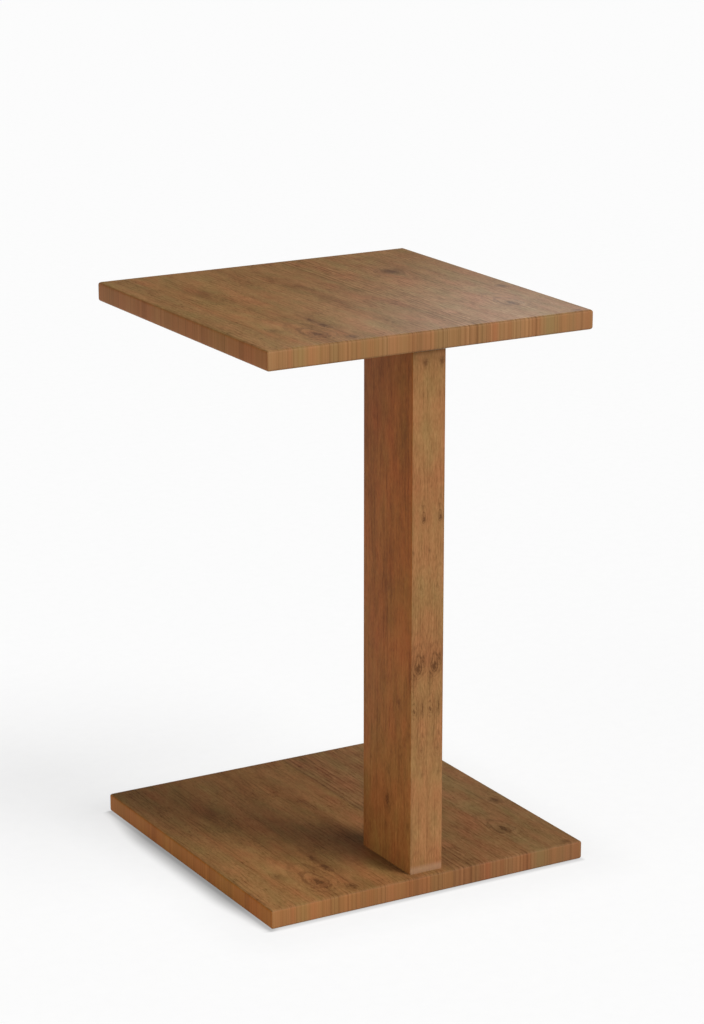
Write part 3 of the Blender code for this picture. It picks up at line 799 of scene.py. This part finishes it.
def make_post_wood():
    """The same wood with its grain upright. Its two boards repeat each other side by side."""
    tree = Tree("post_wood")
    place = tree.separate(tree.object_place())
    normal = tree.separate(tree.object_normal())
    x, y, z = (tree.math("MULTIPLY", place[axis], PER_METRE) for axis in "XYZ")
    on_wide = facing(tree, normal["X"])
    half = (POST_HIGH.x - POST_LOW.x) / 2 / MM
    across = tree.math("MODULO", tree.math("ADD", x, half + MODULO_SLACK), half)
    inner = tree.math("GREATER_THAN", y, (POST_LOW.y + POST_HIGH.y) / 2 / MM)
    up = tree.math("MULTIPLY_ADD", inner, INNER_SHIFT, z)
    bent, knots = bent_grain(tree, across, up, POST_KNOTS, POST_WOBBLE)
    tone, height = wood_tones(
        tree, bent, up, POST_SEED, line_period=3.4, line_depth=0.22, pore_depth=0.15
    )
    wide_bent, wide_knots = bent_grain(tree, y, z, WIDE_KNOTS, WIDE_WOBBLE)
    wide_tone, wide_height = wood_tones(
        tree,
        wide_bent,
        z,
        WIDE_SEED,
        line_period=6.5,
        line_depth=0.22,
        contrast=1.25,
        pore_depth=0.12,
    )
    tone = blend(tree, on_wide, tone, wide_tone)
    height = blend(tree, on_wide, height, wide_height)
    knots = blend(tree, on_wide, knots, wide_knots)
    colour = wood_colour(tree, tone, knots, tree.math("ADD", x, y), z, POST_SEED)
    # Painted shade on the wide face toward -X, lighter near the foot as painted bounce light; the
    # face toward +X gets a milder tint
    height_share = tree.remap(z, BASE_HIGH.z / MM, WIDE_PAINTED_SHADE_REACH)
    wide_shade_tint = tree.mix(height_share, WIDE_PAINTED_BOUNCE_LOW, WIDE_PAINTED_SHADE_HIGH)
    wide_shade_tint = tree.mix(to_right(tree, normal), wide_shade_tint, RIGHT_WIDE_TINT)
    colour = tree.mix(on_wide, colour, tree.mix(1.0, colour, wide_shade_tint, "MULTIPLY"))
    # A pale band at the foot of the narrow faces
    pale_foot = tree.remap(z, *FOOT_SPAN, FOOT_SHARE, 0.0, smooth=True)
    pale_foot = tree.math("MULTIPLY", pale_foot, tree.math("SUBTRACT", 1.0, on_wide))
    colour = tree.mix(pale_foot, colour, FOOT_PALE)
    finish_wood(tree, colour, height, tree.remap(tone, 0.0, 1.0, *POST_ROUGHNESS))
    return tree.owner


def make_metal(name, colour, roughness):
    """Worked metal with fine scratches, small stains and slightly uneven gloss."""
    tree = Tree(name)
    place = tree.separate(tree.object_place())
    scaled = [tree.math("MULTIPLY", place[axis], scale) for axis, scale in zip("XYZ", BRUSH_SCALE)]
    brush = tree.noise(tree.combine(*scaled), detail=3.0, roughness=0.6)
    stain = tree.noise(tree.object_place(), STAIN_SCALE, detail=3.0)
    scratches = tree.math("SUBTRACT", brush, 0.5)
    stains = tree.math("SUBTRACT", stain, 0.5)
    light = add_up(tree, 1.0, [(scratches, BRUSH_SHARE), (stains, STAIN_SHARE)])
    tone = tree.combine(*(tree.math("MULTIPLY", light, part) for part in colour))
    rough = tree.math("MULTIPLY_ADD", stains, STAIN_ROUGHNESS, roughness)
    tree.set(Base_Color=tone, Roughness=rough, Metallic=1.0)
    tree.bump(brush, METAL_RELIEF)
    return tree.owner


def make_nylon():
    """Dark brown nylon, rubbed in places."""
    tree = Tree("glide_nylon")
    speckle = tree.noise(tree.object_place(), SPECKLE_SCALE)
    rub = tree.noise(tree.object_place(), RUB_SCALE, detail=3.0)
    # Brightness about 1, because the noise is about 0.5
    tone = tree.math("MULTIPLY_ADD", rub, 0.6, 0.7)
    colour = tree.combine(*(tree.math("MULTIPLY", tone, part) for part in NYLON_BROWN))
    tree.set(Base_Color=colour, Roughness=tree.remap(rub, *RUB_SPAN))
    tree.bump(speckle, NYLON_RELIEF)
    return tree.owner


def make_dowel_wood():
    """Pale beech with its grain upright."""
    tree = Tree("dowel_wood")
    place = tree.separate(tree.object_place())
    u = tree.math("MULTIPLY", tree.math("ADD", place["X"], place["Y"]), PER_METRE)
    v = tree.math("MULTIPLY", place["Z"], PER_METRE)
    tone, height = wood_tones(tree, u, v, DOWEL_SEED, line_period=1.5, line_depth=0.1)
    colour = tree.ramp(tone, ((0.0, DOWEL_DARK), (1.0, DOWEL_PALE)))
    tree.set(Base_Color=colour, Roughness=tree.remap(tone, 0.0, 1.0, *DOWEL_ROUGHNESS))
    tree.bump(height, DOWEL_RELIEF)
    return tree.owner


# ---------------------------------------------------------------- wooden pieces

def glide_cutters(side):
    """The recesses and pilot bores of the two glides on one side of the base."""
    numbers = (1, 4) if side == "left" else (2, 3)
    found = []
    for number in numbers:
        glide = f"glide_{number}"
        found.append(round_pocket(glide, node_radius(glide) + FIT_GAP, low_z=-PAST_FACE))
        found.append(round_pocket(f"glide_screw_{number}", SCREW_SHANK + FIT_GAP))
    return found


def base_bolt_cutters():
    """The counterbores and clearance bores of the bolts that hold the post."""
    found = []
    for number in (1, 2):
        washer = f"bolt_washer_{number}"
        found.append(round_pocket(washer, node_radius(washer) + FIT_GAP, low_z=-PAST_FACE))
        found.append(round_pocket(f"base_bolt_{number}", BOLT_SHANK + FIT_GAP))
    return found


def dowel_cutter(number):
    dowel = f"dowel_{number}"
    return round_pocket(dowel, node_radius(dowel) + FIT_GAP)


def groove_cutter():
    """The round groove that the hinge's knuckles lie in."""
    low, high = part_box("hinge_upper_leaf")
    length = high.x - low.x + 2 * FIT_GAP
    shape = rod_shape(HINGE, KNUCKLE_RADIUS + FIT_GAP, length, turned=ALONG_X)
    return object_from("hinge_groove", shape)


def leaf_mortise(node, face, depth_side):
    """The flat recess for a hinge leaf, from outside the wood's face to past the leaf's back."""
    low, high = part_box(node)
    back = HINGE.z + depth_side * (LEAF_REACH + FIT_GAP)
    front = face - depth_side * PAST_FACE
    low_corner = Vector((low.x - FIT_GAP, HINGE.y - FIT_GAP, min(back, front)))
    high_corner = Vector((high.x + FIT_GAP, high.y + FIT_GAP, max(back, front)))
    return object_from(f"mortise_{node}", box_shape(low_corner, high_corner))


def top_cutters():
    """Everything that is let into the underside of the top."""
    found = [groove_cutter(), leaf_mortise("hinge_upper_leaf", TOP_LOW.z, 1)]
    found.append(plate_pocket("strike_plate"))
    for number in range(1, 5):
        found.append(round_pocket(f"upper_leaf_screw_{number}", SCREW_SHANK + FIT_GAP))
    for number in (1, 2):
        found.append(round_pocket(f"strike_screw_{number}", SCREW_SHANK + FIT_GAP))
    return found


def post_cutters(side):
    """Everything that is let into one of the post's two boards."""
    number = 1 if side == "left" else 2
    found = [groove_cutter(), leaf_mortise("hinge_lower_leaf", POST_HIGH.z, -1)]
    magnet = f"catch_magnet_{number}"
    above = POST_HIGH.z + PAST_FACE
    found.append(round_pocket(magnet, node_radius(magnet) + FIT_GAP, high_z=above))
    found.append(round_pocket(f"magnet_screw_{number}", SCREW_SHANK + FIT_GAP))
    for screw in (number, number + 2):
        found.append(round_pocket(f"lower_leaf_screw_{screw}", SCREW_SHANK + FIT_GAP))
    found.append(dowel_cutter(number))
    for bolt in (1, 2):
        found.append(round_pocket(f"base_bolt_{bolt}", BOLT_SHANK + FIT_GAP))
        low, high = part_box(f"barrel_nut_{bolt}")
        middle = (low + high) / 2
        length = high.x - low.x + 2 * FIT_GAP
        pocket = rod_shape(middle, (high.z - low.z) / 2 + FIT_GAP, length, turned=ALONG_X)
        found.append(object_from(f"nut_pocket_{bolt}", pocket))
    return found


def add_stave(slab, number, body, cutters):
    """One glued board of a slab, reaching to a hair line from its neighbours."""
    node = f"{slab}_stave_{number}"
    low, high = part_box(node)
    slab_low, slab_high = (BASE_LOW, BASE_HIGH) if slab == "base" else (TOP_LOW, TOP_HIGH)
    closing = (GLUE_GAP - HAIR_LINE) / 2
    left = low.x - closing if number > 1 else None
    right = high.x + closing if number < STAVE_COUNT else None
    shape = slab_shape(slab_low, slab_high)
    keep_between(shape, left, right)
    stave = object_from(f"{slab}_board_{number}", shape)
    cut_all(stave, cutters)
    shade(stave)
    tint = STAVE_TINTS[number - 1]
    # The base's boards carry the painted shade of lying under the top
    if slab == "base":
        parts = zip(tint, BASE_PAINTED_SHADE, BASE_STAVE_PAINTED_SHADES[number - 1])
        tint = [part * base_shade * stave_shade for part, base_shade, stave_shade in parts]
    stave.color = (*tint, 1)
    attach(stave, body)
    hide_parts(node)
    give_material(stave, slab_wood)


def add_post_board(side):
    """One of the post's two boards, standing on the base and meeting its twin at a hair line."""
    node = f"post_board_{side}"
    low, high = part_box(node)
    low.z = BASE_HIGH.z
    closing = (GLUE_GAP - HAIR_LINE) / 2
    if side == "left":
        high.x += closing
    else:
        low.x -= closing
    shape = box_shape(low, high)
    # The post's plan, with ends far away, so that only its four upright edges are rounded
    outer_low = Vector((POST_LOW.x, POST_LOW.y, low.z - FAR_OFF))
    outer_high = Vector((POST_HIGH.x, POST_HIGH.y, high.z + FAR_OFF))
    round_outer_edges(shape, outer_low, outer_high, POST_ROUND, POST_STEPS)
    board = object_from(f"post_half_{side}", shape)
    cut_all(board, post_cutters(side))
    shade(board)
    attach(board, "stand")
    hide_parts(node)
    give_material(board, post_wood)


# ---------------------------------------------------------------- stage

CAMERA_PLACE = Vector((-1.6435, -2.8777, 1.3424))
CAMERA_TURN = math.radians(-29.95)
CAMERA_PITCH = math.radians(16.04)
CAMERA_LENS = 107.83
SENSOR_WIDTH = 36
# Strength of the room's light, and what a direct look and a mirrored one add to it
AMBIENT = 0.12
SEEN_AMBIENT = 0.83
MIRRORED_AMBIENT = 0.08
# Broad soft lamps far off, as (name, direction they shine from, power, angle across in degrees)
FAR_LAMPS = (
    ("front", (0.43, -0.76, 0.49), 1.54, 22),
    ("high_front", (0.27, -0.45, 0.85), 2.0, 30),
    ("left_fill", (-0.88, -0.24, 0.40), 1.10, 58),
)
SHEEN_AIM = Vector((0.15, -0.17, 0.638))
SHEEN_RISE = math.radians(33)
SHEEN_DISTANCE = 1.3
SHEEN_POWER = 25
SHEEN_CONE = math.radians(27)
SHEEN_SIZE = 0.15
# The paper's own colour, its glow and its roughness
FLOOR_SHADE = 0.20
FLOOR_GLOW = 0.764
FLOOR_ROUGHNESS = 0.9
# Shade on the floor at the base, as (reach in metres, brightness at the base)
LEFT_CONTACT = (0.027, 0.48)
EDGE_CONTACT = (0.006, 0.78)
WIDE_CONTACT = (0.090, 0.955)
# The left edge's shade gets narrower and paler between these distances from the edge's middle
TAPER = (0.09, 0.20)
TAPERED_SHARE = 0.45
# How much faster the left edge's shade fades past a corner
CORNER_FADE = 4.0
# The paper's faint unevenness: its scale per metre, and its span of brightness
PAPER_SCALE = 60.0
PAPER_LIGHT = (0.995, 1.005)
FLOOR_HALF = 30


def add_camera():
    data = bpy.data.cameras.new("camera")
    data.sensor_width = SENSOR_WIDTH
    data.lens = CAMERA_LENS
    camera = bpy.data.objects.new("camera", data)
    bpy.context.scene.collection.objects.link(camera)
    camera.location = CAMERA_PLACE
    camera.rotation_euler = (math.pi / 2 - CAMERA_PITCH, 0, CAMERA_TURN)
    bpy.context.scene.camera = camera


def add_lamp(name, kind, toward, power, place=(0, 0, 0), **settings):
    """A lamp at a place that shines from the direction toward back to the table."""
    data = bpy.data.lights.new(name, kind)
    data.energy = power
    for setting, value in settings.items():
        setattr(data, setting, value)
    lamp = bpy.data.objects.new(name, data)
    bpy.context.scene.collection.objects.link(lamp)
    lamp.location = place
    lamp.rotation_euler = Vector(toward).to_track_quat("Z", "Y").to_euler()
    return lamp


def outside(tree, place, low, high):
    """How far a place is outside low to high, in metres."""
    below = tree.math("SUBTRACT", low, place)
    above = tree.math("SUBTRACT", place, high)
    return tree.math("MAXIMUM", tree.math("MAXIMUM", below, above), 0.0)


def distance(tree, first, second):
    """How far off a place is, from how far it is off along two axes."""
    return tree.math("SQRT", sum_of_squares(tree, first, second))


def make_floor_white():
    """White paper under the table, shaded near the base and most of all at its left edge."""
    tree = Tree("floor_white")
    position = tree.add("ShaderNodeNewGeometry").outputs["Position"]
    place = tree.separate(position)
    off_left = tree.math("ABSOLUTE", tree.math("SUBTRACT", place["X"], BASE_LOW.x))
    off_x = outside(tree, place["X"], BASE_LOW.x, BASE_HIGH.x)
    off_y = outside(tree, place["Y"], BASE_LOW.y, BASE_HIGH.y)
    along = tree.math("ABSOLUTE", place["Y"])
    fullness = tree.remap(along, *TAPER, 1.0, TAPERED_SHARE, smooth=True)
    past_corner = tree.math("MULTIPLY", off_y, CORNER_FADE)
    from_left = tree.math("DIVIDE", distance(tree, off_left, past_corner), fullness)
    reach, darkest = LEFT_CONTACT
    dark = tree.remap(from_left, 0.0, reach, 1 - darkest, 0.0, smooth=True)
    light = tree.math("SUBTRACT", 1.0, tree.math("MULTIPLY", dark, fullness))
    from_base = distance(tree, off_x, off_y)
    for reach, darkest in (EDGE_CONTACT, WIDE_CONTACT):
        part = tree.remap(from_base, 0.0, reach, darkest, 1.0, smooth=True)
        light = tree.math("MULTIPLY", light, part)
    grain = tree.remap(tree.noise(position, PAPER_SCALE), 0.3, 0.7, *PAPER_LIGHT)
    light = tree.math("MULTIPLY", light, grain)
    paper = tree.math("MULTIPLY", light, FLOOR_SHADE)
    tree.set(Base_Color=tree.combine(paper, paper, paper), Roughness=FLOOR_ROUGHNESS)
    tree.set(Emission_Color=tree.combine(light, light, light), Emission_Strength=FLOOR_GLOW)
    tree.set(Specular_IOR_Level=0.0)
    return tree.owner


def add_floor():
    shape = bmesh.new()
    bmesh.ops.create_grid(shape, x_segments=1, y_segments=1, size=FLOOR_HALF)
    floor = object_from("floor", shape)
    floor.data.materials.append(make_floor_white())


def add_world():
    """A pale room that is seen bright, and lights the table only softly."""
    world = bpy.data.worlds.new("studio")
    world.use_nodes = True
    nodes = world.node_tree.nodes
    links = world.node_tree.links
    background = nodes["Background"]
    background.inputs["Color"].default_value = (1, 1, 1, 1)
    rays = nodes.new("ShaderNodeLightPath").outputs
    strength = AMBIENT
    for ray, share in (("Is Camera Ray", SEEN_AMBIENT), ("Is Glossy Ray", MIRRORED_AMBIENT)):
        part = nodes.new("ShaderNodeMath")
        part.operation = "MULTIPLY_ADD"
        links.new(rays[ray], part.inputs[0])
        part.inputs[1].default_value = share
        if isinstance(strength, float):
            part.inputs[2].default_value = strength
        else:
            links.new(strength, part.inputs[2])
        strength = part.outputs[0]
    links.new(strength, background.inputs["Strength"])
    bpy.context.scene.world = world


def add_sheen():
    """A lamp behind the table, opposite the camera, that only makes the table top shine."""
    view = (SHEEN_AIM - CAMERA_PLACE).xy.normalized()
    toward = Vector((*(view * math.cos(SHEEN_RISE)), math.sin(SHEEN_RISE)))
    place = SHEEN_AIM + SHEEN_DISTANCE * toward
    shape = {"spot_size": SHEEN_CONE, "spot_blend": 1.0, "shadow_soft_size": SHEEN_SIZE}
    lamp = add_lamp("sheen", "SPOT", toward, SHEEN_POWER, place=place, **shape)
    lamp.visible_diffuse = False
    lamp.visible_camera = False
    shiny = bpy.data.collections.new("shiny")
    for number in range(1, STAVE_COUNT + 1):
        shiny.objects.link(bpy.data.objects[f"top_board_{number}"])
    lamp.light_linking.receiver_collection = shiny


def add_stage():
    add_floor()
    add_world()
    bpy.context.scene.view_settings.view_transform = "Standard"
    for name, direction, power, angle in FAR_LAMPS:
        add_lamp(name, "SUN", direction, power, angle=math.radians(angle))
    add_sheen()


# ---------------------------------------------------------------- build

knot_tree = knot_group()
slab_wood = make_slab_wood()
post_wood = make_post_wood()
hardware_looks = {"dowel_wood": make_dowel_wood(), "glide_nylon": make_nylon()}
for slot, colour, roughness in METALS:
    hardware_looks[slot] = make_metal(slot, colour, roughness)

for subpart in frame["record"]["subparts"]:
    if subpart["material_slot"] in hardware_looks:
        give_material(frame["nodes"][subpart["node"]], hardware_looks[subpart["material_slot"]])

for stave in range(1, STAVE_COUNT + 1):
    base_cuts = []
    top_cuts = []
    if stave == 1:
        base_cuts = glide_cutters("left")
    if stave == STAVE_COUNT:
        base_cuts = glide_cutters("right")
    if stave == HARDWARE_STAVE:
        base_cuts = base_bolt_cutters() + [dowel_cutter(1), dowel_cutter(2)]
        top_cuts = top_cutters()
    add_stave("base", stave, "stand", base_cuts)
    add_stave("top", stave, "tilting_top", top_cuts)
for side in SIDES:
    add_post_board(side)

add_camera()
add_stage()
